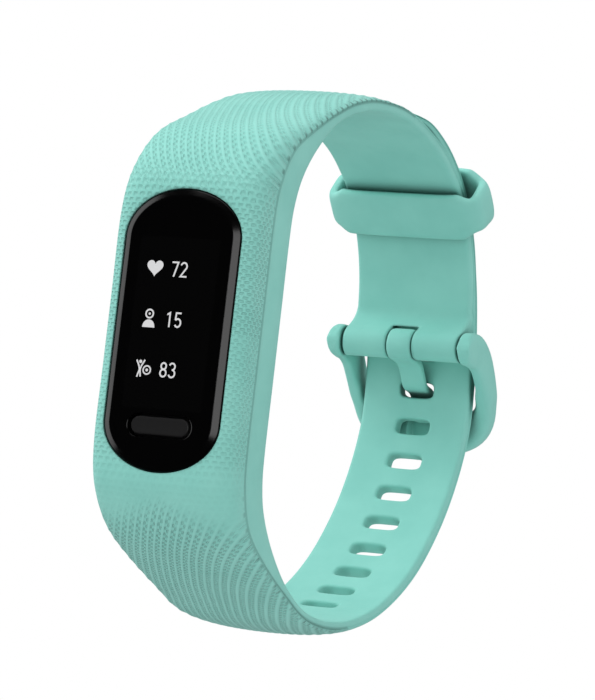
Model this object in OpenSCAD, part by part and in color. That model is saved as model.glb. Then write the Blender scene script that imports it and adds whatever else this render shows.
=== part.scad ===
/* Fitness tracker band: a sealed module in a one-piece silicone strap with a pin buckle.
   The module stands upright: +X runs along the forearm, -Y is the way the screen faces and
   +Z is up along the module. The origin is the centre of the wrist opening. */

/* [Module] */
// Half the width of the lens
lens_hw = 8.05; // [7.8:0.05:8.3]
// Half the height of the lens
lens_hz = 17.15; // [16.8:0.05:17.4]
// Height of the elliptical ends of the lens
lens_end = 6; // [4:0.5:8]
// Height of the lens centre above the origin
lens_z = -0.75; // [-1:0.05:-0.5]
// Front face of the lens
lens_y = -39; // [-39.2:0.1:-38.8]
// How far the flange of the case stands outside the lens
flange = 0.6; // [0.4:0.1:0.7]

/* [Key] */
// Length of the key
key_l = 8; // [7:0.1:8.4]
// Height of the key
key_w = 2.2; // [1.8:0.1:2.4]
// Height of the key's centre below the origin
key_z = -12.4; // [-12.6:0.1:-12.2]

/* [Strap] */
// Thickness of the strap that carries the buckle
strap_t = 1.7; // [1.6:0.1:1.9]
// Half the width of the band at the module
module_hw = 9.75; // [9.6:0.05:9.9]
// Half the width of the strap that carries the buckle
strap_a_hw = 8.5; // [8.2:0.1:8.6]
// Half the width of the strap with the holes
strap_b_hw = 8; // [7.6:0.1:8]
// Distance between two holes along the strap
hole_pitch = 5; // [4.8:0.1:5.2]
// Length of a hole across the strap
hole_l = 5.4; // [5:0.1:6]
// Width of a hole along the strap
hole_w = 2.4; // [2.3:0.1:2.7]

/* [Buckle] */
// Distance of the spring bar behind the origin
bar_y = 26; // [25.9:0.1:26.1]
// Height of the spring bar
bar_z = 5.5; // [5.4:0.1:5.6]
// Radius of the rolled end of the strap
barrel_r = 1.9; // [1.7:0.1:2]
// Half the width of the buckle
buckle_hw = 10.6; // [10.4:0.1:11]
// Width of the tongue
tongue_w = 3.5; // [3:0.1:3.6]
// Thickness of the tongue
tongue_t = 1; // [0.8:0.1:1.1]

/* [Keeper] */
// Half the width of the keeper loop
keeper_hw = 11.3; // [10.8:0.1:11.4]
// Wall thickness of the keeper loop
keeper_t = 1.6; // [1.4:0.1:1.8]
// Length of the keeper loop along the strap, in degrees of the strap's arc
keeper_arc = 18; // [12:1:18]

/* [Hidden] */
$fn = 64;

silicone = [0.50, 0.80, 0.73];
silicone_edge = [0.44, 0.72, 0.66];
steel = [0.75, 0.76, 0.78];
dark_plastic = [0.12, 0.12, 0.13];
lens_black = [0.03, 0.03, 0.03];
flex_amber = [0.75, 0.45, 0.12];
board_green = [0.05, 0.30, 0.16];
gold = [0.85, 0.68, 0.30];

// Centre and inner radius of the arc that the buckle strap and the tail share
arc_y = 5;
arc_z = 8.4;
arc_r = 22.6;
arc_from = 8;
arc_to = 58;
arc_step = 10;
// Room between the buckle strap and the tail that lies on it
tail_gap = 0.2;
tail_r = arc_r + strap_t + tail_gap;
tail_t = 1.5;
tip_round = 10;

function on_arc(r, a, t) = [arc_y + r * cos(a), arc_z + r * sin(a), t];

// Inner face of the band: [y, z, thickness]. It starts at the spring bar, runs over the top,
// down behind the module, along the bottom and up the back.
path_a = concat(
    [[bar_y + 0.2, bar_z, barrel_r - 0.2], [bar_y + 0.9, bar_z + 3.1, strap_t]],
    [for (a = [arc_from : arc_step : arc_to]) on_arc(arc_r, a, strap_t)],
    [[11, 30.6, 1.6], [3, 32.1, 1.7], [-6, 31.9, 2.1], [-13, 30.4, 2.4], [-18.8, 27.9, 3.1],
     [-23.6, 24.1, 4.9], [-26.9, 20.3, 7.5], [-28.5, 16.6, 9.4], [-29, 12.5, 9.75], [-29, 4, 9.75]]);
path_b = concat(
    [[-29, 4, 9.75], [-29, -5, 9.75], [-29, -14, 9.75], [-28.5, -18, 9.5], [-26.9, -21.4, 7.6],
     [-23.4, -25.4, 4.9], [-18.2, -29.3, 3], [-12, -32, 2.4], [-4, -32.8, 2.2], [4, -32, 2], [12, -29.4, 2],
     [19.5, -24.6, 2], [25.3, -18.4, 2], [29.2, -11.8, 2], [31.4, -5, 2], [31.4, 1, 2],
     [30.7, 6.5, 1.7]],
    [for (a = [arc_from : arc_step : arc_to + arc_step]) on_arc(tail_r + (a == arc_from ? 0.5 : 0), a, tail_t)],
    [[9.5, 32.85, 1.2], [4, 33.95, 0.8]]);

// A smooth curve through the points of a path
steps = 4;
function pick(p, i) = p[max(0, min(len(p) - 1, i))];
function blend(a, b, c, d, t) = 0.5 * ((2 * b) + (c - a) * t + (2 * a - 5 * b + 4 * c - d) * t * t
    + (3 * b - a - 3 * c + d) * t * t * t);
function curve(p) = concat([for (i = [0 : len(p) - 2], j = [0 : steps - 1])
    blend(pick(p, i - 1), p[i], p[i + 1], pick(p, i + 2), j / steps)], [p[len(p) - 1]]);
function direction(c, i) = let (d = pick(c, i + 1) - pick(c, i - 1)) [d[0], d[1]] / norm([d[0], d[1]]);
function inside(c) = [for (p = c) [p[0], p[1]]];
function outside(c) = [for (i = [0 : len(c) - 1]) let (d = direction(c, i))
    [c[i][0] + c[i][2] * d[1], c[i][1] - c[i][2] * d[0]]];
function backwards(l) = [for (i = [len(l) - 1 : -1 : 0]) l[i]];
function ribbon(c) = concat(inside(c), backwards(outside(c)));

curve_a = curve(path_a);
curve_b = curve(path_b);

// Distance along curve_b to each of its points, for placing the holes
run_b = [for (i = 0, d = 0; i < len(curve_b);
    d = d + norm(inside(curve_b)[min(i + 1, len(curve_b) - 1)] - inside(curve_b)[i]), i = i + 1) d];
function table_b(k) = [for (i = [0 : len(run_b) - 1]) [run_b[i], curve_b[i][k]]];
table_y = table_b(0);
table_z = table_b(1);
table_turn = [for (i = [0 : len(run_b) - 1])
    let (d = direction(curve_b, i)) [run_b[i], atan2(-d[1], -d[0])]];
// The tongue's hole lies here along curve_b, with hole_pitch between it and its neighbours
tongue_hole = run_b[15 * steps] - 1;
holes_below = 8;
holes_above = 9;

// The spring bar
bar_r = 0.75;
bar_hl = 8.4;
bar_bore = 0.5;
tip_r = 0.45;
tip_in = 6.2;
tip_out = 9.7;
barrel_hl = 8.6;
boss_in = 8.75;
boss_r = 2.5;
running = 0.05;
tongue_slot = tongue_w + 0.4;

// Depths of the module's layers, from the lens to the back
lens_t = 1.2;
adhesive_t = 0.2;
case_y = lens_y + lens_t + adhesive_t;
flange_y = lens_y + 2.5;
seal_y = lens_y + 4.5;
rear_y = lens_y + 4.7;
back_y = lens_y + 10;
window_y = lens_y + 10.7;
panel_t = 1;
display_z = 0.3;
frame_y = lens_y + 2.6;
frame_t = 0.4;
board_y = lens_y + 3.4;
board_t = 0.8;
chips_t = 1;
battery_y = lens_y + 5.4;
battery_t = 2.9;
battery_h = 20;
battery_z = lens_z + 3.3;
battery_top = battery_z + battery_h / 2;
motor_z = lens_z - 11.3;
optical_y = lens_y + 8.5;
optical_t = 0.6;
window_w = 10.4;
window_h = 11.4;
contact_z = -11.5;
contact_pitch = 2.6;
contact_r = 0.8;
play = 0.15;
key_play = 0.35;

// A shape in the (y, z) plane, extruded along x about the middle
module along_x(l) {
    rotate([90, 0, 90]) linear_extrude(l, center = true) children();
}

// A shape in the (x, z) plane, extruded from y to y + l
module along_y(y, l) {
    translate([0, y + l, 0]) rotate([90, 0, 0]) linear_extrude(l) children();
}

// The lens outline, grown by g: straight sides and elliptical ends
module outline(g) {
    straight = lens_hz - lens_end;
    arc = [for (i = [0 : 24]) let (a = 7.5 * i) [(lens_hw + g) * cos(a), (lens_end + g) * sin(a)]];
    translate([0, lens_z]) polygon(concat([for (p = arc) [p[0], straight + p[1]]],
        [for (p = arc) [-p[0], -straight - p[1]]]));
}

// A rounded rectangle
module plate(w, h, r) {
    square([w - 2 * r, h], center = true);
    square([w, h - 2 * r], center = true);
    for (x = [-1, 1], y = [-1, 1]) translate([x * (w / 2 - r), y * (h / 2 - r)]) circle(r);
}

module pill(w, h) {
    plate(w, h, h / 2 - 0.001);
}

module ring(outer, inner) {
    difference() {
        outline(outer);
        outline(inner);
    }
}

module rod(r, x0, x1) {
    translate([x0, bar_y, bar_z]) rotate([0, 90, 0]) cylinder(r = r, h = x1 - x0);
}

// Half widths of the band seen from above, against y
module width(hw) {
    side = concat(
        [for (a = [0 : 15 : 90]) [lens_hw + 0.1 + (module_hw - lens_hw - 0.1) * sin(a), -34.2 - 4.9 * cos(a)]],
        [[module_hw, -26], [9.3, -18], [8.7, -8], [hw, 3], [hw, 60]]);
    translate([0, 0, -60]) linear_extrude(120)
        polygon(concat(side, backwards([for (p = side) [-p[0], p[1]]])));
}

module strap_hole(k) {
    d = tongue_hole + k * hole_pitch;
    translate([0, lookup(d, table_y), lookup(d, table_z)]) rotate([lookup(d, table_turn), 0, 0])
        translate([0, 0, -tail_gap / 2]) linear_extrude(4) pill(hole_l, hole_w);
}

// What is cut from the end of the tail to round it
module tail_tip() {
    end = path_b[len(path_b) - 1];
    translate([0, end[0] + tip_round, end[1]]) linear_extrude(10, center = true) difference() {
        translate([-tip_round, -tip_round - 1]) square([2 * tip_round, tip_round]);
        circle(tip_round);
    }
}

module band_body() {
    color(silicone) difference() {
        union() {
            intersection() {
                along_x(24) polygon(ribbon(curve_a));
                width(strap_a_hw);
            }
            difference() {
                intersection() {
                    along_x(24) polygon(ribbon(curve_b));
                    width(strap_b_hw);
                }
                tail_tip();
            }
            rod(barrel_r, -barrel_hl, barrel_hl);
        }
        along_y(lens_y - 2, 14) outline(play);
        along_y(flange_y - play, 14) outline(flange + play);
        rod(bar_r + running, -12, 12);
        translate([0, bar_y + 0.5, bar_z]) cube([tongue_slot, 8, 5.2], center = true);
        for (k = [-holes_below : holes_above]) strap_hole(k);
    }
}

// The keeper follows the arc of the strap, so it slides along it without binding
module keeper_loop() {
    inner = arc_r - 0.3;
    outer = tail_r + tail_t + 0.3;
    middle = (inner + outer) / 2;
    high = outer - inner;
    color(silicone_edge) translate([0, arc_y, arc_z]) rotate([41 - keeper_arc / 2, 0, 0]) rotate([90, 0, 90])
        rotate_extrude(angle = keeper_arc) translate([middle, 0]) difference() {
            plate(high + 2 * keeper_t, 2 * keeper_hw, 2.4);
            plate(high, 2 * (keeper_hw - keeper_t - 0.4), 0.9);
        }
}

// Side outline of the buckle, from the bar out to the bar behind the strap
arm_top = [[26, 8], [28.6, 7.8], [31.4, 5.7], [33.5, 3.5], [35.1, 0.9], [36.3, -1.8], [37.1, -4.3],
    [37.5, -6.6], [37.4, -8.2]];
arm_low = [[35.3, -8.2], [34.8, -6.4], [34.2, -4.6], [33.2, -2.4], [32, -0.4], [30.6, 1.3], [29.1, 2.7],
    [27.4, 3.5], [25.6, 3.1]];
buckle_low = -8;
buckle_bar = 4.6;
notch_r = 13.8;

// A bow that is open at the top: w wide, its bottom at z, with corners of radius r
module bow(w, z, r) {
    translate([0, z + 20]) plate(w, 40, r);
}

module buckle_frame() {
    color(silicone_edge) difference() {
        union() {
            intersection() {
                along_x(2 * buckle_hw) polygon(concat(inside(curve(arm_top)), inside(curve(arm_low))));
                along_y(20, 22) bow(2 * buckle_hw, buckle_low, 7);
            }
            for (s = [-1, 1]) scale([s, 1, 1]) rod(boss_r, boss_in, buckle_hw);
        }
        along_y(20, 22) bow(2 * boss_in - 1.2, buckle_low + buckle_bar, 3.2);
        translate([-boss_in, 20, -12]) cube([2 * boss_in, 14.2, 30]);
        rod(tip_r + running, -tip_out - 0.1, tip_out + 0.1);
        rod(notch_r, -tongue_w / 2 - 0.3, tongue_w / 2 + 0.3);
    }
}

// Middle line of the tongue from the bar through its hole to the notch of the buckle
tongue_line = [[27, 4.7, 1], [28.7, 3.5, 1], [30.1, 1.6, 1], [31.4, 0.4, 1], [33.45, 0, 1],
    [34.5, -1.4, 1], [34.6, -3.1, 1], [34.6, -4.1, 1]];
function side_of(c, h) = [for (i = [0 : len(c) - 1]) let (d = direction(c, i))
    [c[i][0] + h * d[1], c[i][1] - h * d[0]]];

module buckle_tongue() {
    line = curve(tongue_line);
    color(silicone_edge) difference() {
        union() {
            along_x(tongue_w) polygon(concat(side_of(line, tongue_t / 2), backwards(side_of(line, -tongue_t / 2))));
            rod(2.2, -tongue_w / 2, tongue_w / 2);
        }
        rod(bar_r + running, -3, 3);
    }
}

module spring_bar_tube() {
    color(steel) difference() {
        rod(bar_r, -bar_hl, bar_hl);
        rod(bar_bore, -9, 9);
    }
}

// A tip of the bar: it slides into the tube to free the buckle
module spring_bar_tip(s) {
    color(steel) scale([s, 1, 1]) rod(tip_r, tip_in, tip_out);
}
module spring_bar_tip_left() { spring_bar_tip(-1); }
module spring_bar_tip_right() { spring_bar_tip(1); }

// The coil between the two tips
coil_hl = 5.1;
coil_turns = 9;
coil_rings = 72;
coil_r = 0.33;
wire_r = 0.11;
wire_sides = 6;
function coil_point(i, k) = let (a = 360 * coil_turns * i / coil_rings, b = 360 * k / wire_sides,
    r = coil_r + wire_r * cos(b))
    [-coil_hl + 2 * coil_hl * i / coil_rings + wire_r * sin(b), bar_y + r * cos(a), bar_z + r * sin(a)];

module spring_bar_spring() {
    color(steel) polyhedron(
        [for (i = [0 : coil_rings], k = [0 : wire_sides - 1]) coil_point(i, k)],
        concat([[for (k = [wire_sides - 1 : -1 : 0]) k]],
            [for (i = [0 : coil_rings - 1], k = [0 : wire_sides - 1]) let (n = (k + 1) % wire_sides)
                [i * wire_sides + k, i * wire_sides + n, (i + 1) * wire_sides + n]],
            [for (i = [0 : coil_rings - 1], k = [0 : wire_sides - 1]) let (n = (k + 1) % wire_sides)
                [i * wire_sides + k, (i + 1) * wire_sides + n, (i + 1) * wire_sides + k]],
            [[for (k = [0 : wire_sides - 1]) coil_rings * wire_sides + k]]));
}

module front_lens() {
    color(lens_black) difference() {
        union() {
            along_y(lens_y, 0.4) outline(-0.35);
            along_y(lens_y + 0.4, lens_t - 0.4) outline(0);
        }
        along_y(lens_y - 1, 3) translate([0, key_z]) pill(key_l + 2 * key_play, key_w + 2 * key_play);
    }
}

module lens_adhesive() {
    color("gray") along_y(lens_y + lens_t, adhesive_t) ring(-0.3, -1.2);
}

module front_case() {
    color(dark_plastic) difference() {
        union() {
            along_y(case_y, flange_y - case_y) outline(0);
            along_y(flange_y, seal_y - flange_y) outline(flange);
        }
        along_y(case_y - 1, 8) outline(-1.4);
    }
}

module case_seal() {
    color("dimgray") along_y(seal_y, rear_y - seal_y) ring(flange - 0.3, -0.5);
}

module rear_case() {
    color(dark_plastic) difference() {
        union() {
            along_y(rear_y, 4.4) outline(flange);
            along_y(rear_y + 4.4, back_y - rear_y - 4.4) outline(flange - 0.4);
        }
        along_y(rear_y - 1, back_y - rear_y + 0.1) outline(-0.3);
        along_y(back_y - 3, 5) plate(window_w + 0.1, window_h + 0.1, 2.05);
        for (i = [-1.5 : 1.5]) along_y(back_y - 3, 5)
            translate([i * contact_pitch, contact_z]) circle(contact_r + 0.03);
    }
}

// Carrier plate between the display and the board
module mid_frame() {
    color("silver") along_y(frame_y, frame_t) difference() {
        outline(-1.6);
        translate([0, key_z]) square([5.2, 4], center = true);
        translate([0, 11.6]) square([7.4, 1.4], center = true);
    }
}

module display_panel() {
    color(lens_black) along_y(lens_y + lens_t + 0.2, panel_t) translate([0, display_z]) plate(12.4, 21, 0.6);
}

// The display's ribbon: out of the panel's top edge and down through the carrier to the board
module display_flex() {
    color(flex_amber) {
        translate([-3, lens_y + 2.05, 10.8]) cube([6, 0.15, 0.9]);
        translate([-3, lens_y + 2.05, 11.6]) cube([6, board_y - lens_y - 2.05, 0.15]);
    }
}

module button_cap() {
    color(lens_black) {
        along_y(lens_y + 0.1, 1.2) translate([0, key_z]) pill(key_l, key_w);
        along_y(lens_y + 1.3, 0.4) translate([0, key_z]) pill(key_l + 1.2, key_w + 1.2);
        along_y(lens_y + 1.7, 0.95) translate([0, key_z]) pill(3, 1.2);
    }
}

module button_seal() {
    color("dimgray") along_y(lens_y + 2.1, 0.4) translate([0, key_z]) difference() {
        plate(key_l + 2, key_w + 1.6, 1.5);
        pill(3.2, 1.4);
    }
}

module dome_switch() {
    color(steel) {
        along_y(board_y - 0.2, 0.2) translate([0, key_z]) plate(3.6, 3, 0.4);
        along_y(board_y - 0.4, 0.2) translate([0, key_z]) circle(1.1);
    }
}

module main_board() {
    color(board_green) along_y(board_y, board_t) outline(-1.8);
}

// The chips on the back of the board: [x, z, width, height]
chips = [[0, 9, 8, 6.4], [-3.2, 2.2, 4.4, 4.4], [2.8, 2.4, 3.4, 3], [3, -2.4, 2.6, 2.2], [-3, -3, 3, 2.6]];

module board_chips() {
    color("darkslategray") for (c = chips)
        along_y(board_y + board_t, chips_t) translate([c[0], c[1]]) square([c[2], c[3]], center = true);
}

// The aerial: a strip round the top end, inside the case
module antenna_strip() {
    color(gold) along_y(frame_y, 1.5) intersection() {
        ring(-1.42, -1.58);
        translate([-10, 12]) square([20, 10]);
    }
}

module vibration_motor() {
    color(steel) translate([0, battery_y, motor_z]) rotate([-90, 0, 0]) cylinder(r = 4, h = 2.6);
}

module battery_cell() {
    color("slategray") along_y(battery_y, battery_t) translate([0, battery_z]) plate(11.4, battery_h, 0.8);
}

module battery_foam() {
    color("dimgray") along_y(battery_y - 0.15, 0.15) translate([0, battery_z]) plate(10, 18, 0.4);
}

module battery_lead() {
    color(flex_amber) {
        translate([-1.5, battery_y + 1, battery_top]) cube([3, 0.2, 0.8]);
        translate([-1.5, board_y + board_t, battery_top + 0.6]) cube([3, battery_y + 1.2 - board_y - board_t, 0.2]);
    }
}

module optical_board() {
    color(board_green) along_y(optical_y, optical_t) plate(11.6, 12.4, 0.8);
}

module sensor_leds() {
    color("lime") for (z = [-1.6, 0, 1.6])
        translate([0, optical_y + optical_t + 0.2, z]) cube([1, 0.4, 1], center = true);
}

module sensor_photodiodes() {
    color("darkgray") for (x = [-3.2, 3.2])
        translate([x, optical_y + optical_t + 0.2, 0]) cube([2.4, 0.4, 3.6], center = true);
}

// Walls that keep the light of the diodes away from the detectors
module light_barrier() {
    color(dark_plastic) along_y(optical_y + optical_t, window_y - 0.8 - optical_y - optical_t) difference() {
        plate(9.8, 10.6, 0.8);
        square([2.4, 6], center = true);
        for (x = [-3.2, 3.2]) translate([x, 0]) square([2.8, 5], center = true);
    }
}

module sensor_window() {
    color(lens_black) {
        along_y(window_y - 0.8, 0.5) plate(window_w, window_h, 2);
        along_y(window_y - 0.3, 0.3) plate(window_w - 0.8, window_h - 0.8, 1.8);
    }
}

module charge_contacts() {
    color(gold) for (i = [-1.5 : 1.5]) along_y(back_y - 1.2, 1.2)
        translate([i * contact_pitch, contact_z]) circle(contact_r);
}

module contact_flex() {
    color(flex_amber) along_y(back_y - 1.4, 0.2) translate([0, contact_z]) plate(10.4, 2.4, 0.4);
}

band_body();
keeper_loop();
buckle_frame();
buckle_tongue();
spring_bar_tube();
spring_bar_spring();
spring_bar_tip_left();
spring_bar_tip_right();
front_lens();
lens_adhesive();
front_case();
case_seal();
rear_case();
mid_frame();
display_panel();
display_flex();
button_cap();
button_seal();
dome_switch();
main_board();
board_chips();
antenna_strip();
vibration_motor();
battery_cell();
battery_foam();
battery_lead();
optical_board();
sensor_leds();
sensor_photodiodes();
light_barrier();
sensor_window();
charge_contacts();
contact_flex();
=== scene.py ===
"""A fitness tracker band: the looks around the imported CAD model. Lengths in the lists are in mm."""
import math
import bmesh
import bpy
import numpy as np
from mathutils import Matrix, Vector


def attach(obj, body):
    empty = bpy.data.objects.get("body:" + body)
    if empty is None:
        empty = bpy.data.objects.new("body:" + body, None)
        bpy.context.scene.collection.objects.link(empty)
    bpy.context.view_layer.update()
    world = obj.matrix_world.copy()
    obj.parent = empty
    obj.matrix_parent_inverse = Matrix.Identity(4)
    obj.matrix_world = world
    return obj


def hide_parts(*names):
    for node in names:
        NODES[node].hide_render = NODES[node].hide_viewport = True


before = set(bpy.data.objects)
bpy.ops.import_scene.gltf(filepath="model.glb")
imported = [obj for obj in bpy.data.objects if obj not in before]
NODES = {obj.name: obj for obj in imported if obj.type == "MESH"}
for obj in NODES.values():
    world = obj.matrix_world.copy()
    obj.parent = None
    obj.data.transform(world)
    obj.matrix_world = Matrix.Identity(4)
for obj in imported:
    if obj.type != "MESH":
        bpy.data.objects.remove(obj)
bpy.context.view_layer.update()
MM = 0.001

# ---------------- camera, light and stage
AZIMUTH, ELEVATION, ROLL = math.radians(27.0), math.radians(-4.56), math.radians(6.58)
DISTANCE, OFFSET, FOCAL_PX, SENSOR, HEIGHT_PX = 490.6, (-15.15, 3.18), 4096.0, 36.0, 700.0
LENS_Y = -39.0


def link(thing):
    bpy.context.scene.collection.objects.link(thing)


def make_camera():
    sa, ca, se, ce = math.sin(AZIMUTH), math.cos(AZIMUTH), math.sin(ELEVATION), math.cos(ELEVATION)
    back = Vector((sa * ce, -ca * ce, se))
    right = Vector((ca, sa, 0))
    up = back.cross(right)
    r = math.cos(ROLL) * right + math.sin(ROLL) * up
    u = -math.sin(ROLL) * right + math.cos(ROLL) * up
    place = (DISTANCE * back - OFFSET[0] * r - OFFSET[1] * u + Vector((0, LENS_Y, 0))) * MM
    data = bpy.data.cameras.new("camera")
    data.sensor_width, data.lens = SENSOR, FOCAL_PX * SENSOR / HEIGHT_PX
    data.clip_start, data.clip_end = 0.01, 20
    camera = bpy.data.objects.new("camera", data)
    link(camera)
    turn = Matrix((r, u, back)).transposed()
    camera.matrix_world = Matrix.Translation(place) @ turn.to_4x4()
    bpy.context.scene.camera = camera


def area_light(name, place, target, size, watts, card=False):
    """A soft box. A card shows only in reflections, and a soft box only lights."""
    data = bpy.data.lights.new(name, "AREA")
    data.shape, data.size, data.size_y, data.energy = "RECTANGLE", size[0], size[1], watts
    lamp = bpy.data.objects.new(name, data)
    link(lamp)
    lamp.location = place
    lamp.rotation_euler = (Vector(target) - Vector(place)).to_track_quat("-Z", "Y").to_euler()
    lamp.visible_diffuse, lamp.visible_glossy = not card, card
    lamp.visible_camera = False


class Nodes:
    """A node tree, with short calls that add nodes to it."""

    def __init__(self, tree):
        self.tree = tree

    def feed(self, socket, value):
        if isinstance(value, bpy.types.NodeSocket):
            self.tree.links.new(value, socket)
        else:
            socket.default_value = value

    def node(self, kind, inputs=(), **fields):
        """A node of this kind, with its inputs fed: pairs of a name or number and a value."""
        made = self.tree.nodes.new("ShaderNode" + kind)
        for key, value in fields.items():
            setattr(made, key, value)
        for socket, value in inputs:
            self.feed(made.inputs[socket], value)
        return made


# Brightness of the surroundings: seen directly, in reflections, and as fill light
SEEN, REFLECTED, FILL = 1.0, 0.012, 0.695


def make_world():
    world = bpy.data.worlds.new("studio")
    bpy.context.scene.world = world
    world.use_nodes = True
    world.node_tree.nodes.clear()
    s = Nodes(world.node_tree)
    path = s.node("LightPath").outputs
    glossy = s.node("Mix", ((0, path["Is Glossy Ray"]), (2, FILL), (3, REFLECTED))).outputs[0]
    seen = s.node("Mix", ((0, path["Is Camera Ray"]), (2, glossy), (3, SEEN))).outputs[0]
    shader = s.node("Background", (("Color", (1, 1, 1, 1)), ("Strength", seen))).outputs[0]
    s.node("OutputWorld", [(0, shader)])


def make_lights():
    area_light("top_box", (-0.02, -0.04, 0.50), (0, 0, 0), (0.5, 0.5), 0.6)
    area_light("left_box", (-0.42, -0.12, 0.36), (0, 0, 0), (0.4, 0.4), 1.5)
    area_light("front_box", (-0.15, -0.55, 0), (0, 0, 0), (0.5, 0.5), 0.20)
    area_light("right_box", (0.42, -0.22, 0.32), (0, 0, 0), (0.3, 0.3), 0.12)
    area_light("left_card", (-0.6, -0.09, 0.10), (0, -0.04, 0), (0.25, 0.8), 0.75, card=True)
    area_light("right_card", (0.31, -0.55, 0.05), (0, -0.04, 0), (0.18, 0.42), 0.6, card=True)
    area_light("top_card", (0, -0.15, 0.6), (0, 0, 0), (0.5, 0.3), 0.5, card=True)


# ---------------- materials
class Shader(Nodes):
    """A material with one Principled shader, and short calls for the nodes that feed it."""

    def __init__(self, name, roughness=0.5, metallic=0.0, **sockets):
        self.material = bpy.data.materials.new(name)
        self.material.use_nodes = True
        super().__init__(self.material.node_tree)
        self.main = self.tree.nodes["Principled BSDF"]
        self.main.inputs["Roughness"].default_value = roughness
        self.main.inputs["Metallic"].default_value = metallic
        for socket, value in sockets.items():
            self.main.inputs[socket.replace("_", " ")].default_value = value

    def math(self, operation, *values, clamp=False):
        return self.node("Math", enumerate(values), operation=operation, use_clamp=clamp).outputs[0]

    def times(self, *values):
        """All the values multiplied together, from the first on."""
        result = values[0]
        for value in values[1:]:
            result = self.math("MULTIPLY", result, value)
        return result

    def place(self):
        """Object coordinates, in mm."""
        coords = self.node("TexCoord").outputs["Object"]
        return self.node("VectorMath", ((0, coords), ("Scale", 1 / MM)), operation="SCALE").outputs[0]

    def noise(self, per_mm, detail=3.0, stretch=None):
        where = self.place()
        if stretch:
            where = self.node("VectorMath", ((0, where), (1, stretch)), operation="MULTIPLY").outputs[0]
        inputs = ("Vector", where), ("Scale", per_mm), ("Detail", detail), ("Roughness", 0.55)
        return self.node("TexNoise", inputs).outputs["Fac"]

    def spread(self, value, low, high, low_out=0.0, high_out=1.0, smooth=False):
        kind = "SMOOTHSTEP" if smooth else "LINEAR"
        inputs = enumerate((value, low, high, low_out, high_out))
        return self.node("MapRange", inputs, interpolation_type=kind).outputs[0]

    def mix(self, factor, a, b):
        a, b = ((*c, 1.0) if isinstance(c, tuple) else c for c in (a, b))
        return self.node("Mix", ((0, factor), (6, a), (7, b)), data_type="RGBA").outputs[2]

    def bump(self, height, depth_mm, strength=1.0, under=None):
        inputs = [("Height", height), ("Distance", depth_mm * MM), ("Strength", strength)]
        if under is not None:
            inputs.append(("Normal", under))
        return self.node("Bump", inputs).outputs[0]

    def done(self, colour, rough=None, normal=None):
        """Feeds the main shader, and gives the material."""
        for socket, value in (("Base Color", colour), ("Roughness", rough), ("Normal", normal)):
            if value is not None:
                self.feed(self.main.inputs[socket], value)
        return self.material


# MINT_HIGHLIGHT is the painted highlight colour of the rib crests; MINT_SHADE is the painted shade colour of
# pits, valleys, dashes, crease and notches
MINT_DEEP, MINT_PALE, MINT_HIGHLIGHT = (0.264, 0.700, 0.618), (0.304, 0.755, 0.668), (0.42, 0.90, 0.82)
MINT_SHADE = tuple(c * 0.42 for c in MINT_DEEP)
# Painted shade in narrow gaps: its colour, how far the walls of a gap may be, and the rays that look for them
CREVICE_SHADE_TONE, CREVICE_SHADE_REACH, CREVICE_SHADE_RAYS = (0.045, 0.19, 0.155), 2.2, 6
# The moulded pattern: its steps along and across the band, how deep it is, and how strong its painted shade
# and painted highlight are
ROW_STEP, DASH_ROW, DASH_STEP, DASH_WANDER, NOTCH_STEP = 0.56, 0.47, 1.0, 0.5, 1.4
PIT_DEPTH, PIT_SHADE, VALLEY_SHADE, CREASE_SHADE, NOTCH_SHADE, CREST_HIGHLIGHT = 0.14, 0.18, 0.17, 0.45, 0.8, 0.38
# Where a rib's crest and its valley lie, as parts of the step from rib to rib
CREST_AT, VALLEY_AT = 1 / 6, 0.36
# The names of the pattern's coordinates and of the strengths of its painted shade and highlight, which the
# mesh carries
PATTERN = ("rib", "row", "ribs", "weave", "across", "rim", "notch_shading")


def silicone_base(name):
    """Matt moulded silicone: faint mottling, painted shade that darkens the colour in narrow gaps, a fine
    grain and a soft sheen.
    """
    s = Shader(name, roughness=0.55, Sheen_Weight=0.12, Sheen_Roughness=0.5, Specular_IOR_Level=0.35)
    tone = s.mix(s.spread(s.noise(0.16, 3), 0.3, 0.7), MINT_DEEP, MINT_PALE)
    # painted shade: an occlusion node darkens the colour where other surfaces are near
    crevice_shade = s.node("AmbientOcclusion", [("Distance", CREVICE_SHADE_REACH * MM)], samples=CREVICE_SHADE_RAYS)
    tone = s.mix(s.spread(crevice_shade.outputs["AO"], 0.25, 0.85, 1.0, 0.0), tone, CREVICE_SHADE_TONE)
    rough = s.spread(s.noise(1.3, 4), 0.3, 0.7, 0.46, 0.62)
    grain = s.bump(s.noise(9.0, 2), 0.012, 0.6)
    return s, tone, rough, s.bump(s.noise(1.1, 3), 0.02, 0.5, grain)


def silicone(name="silicone"):
    s, tone, rough, normal = silicone_base(name)
    return s.done(tone, rough, normal)


def attribute(s, name):
    return s.node("Attribute", attribute_name=name).outputs["Fac"]


def wave(s, value):
    """A cosine with one period for each whole number: 0 to 1."""
    turn = s.math("COSINE", s.times(value, 2 * math.pi))
    return s.math("MULTIPLY_ADD", turn, 0.5, 0.5)


def lattice(s, along, column, stagger):
    """Soft dots in rows and columns, each column shifted by stagger of a row against the last."""
    lane = s.math("FLOOR", column)
    middle = s.math("SINE", s.times(s.math("FRACT", column), math.pi))
    shifted = wave(s, s.math("MULTIPLY_ADD", lane, stagger, along))
    return middle, shifted, lane


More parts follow.
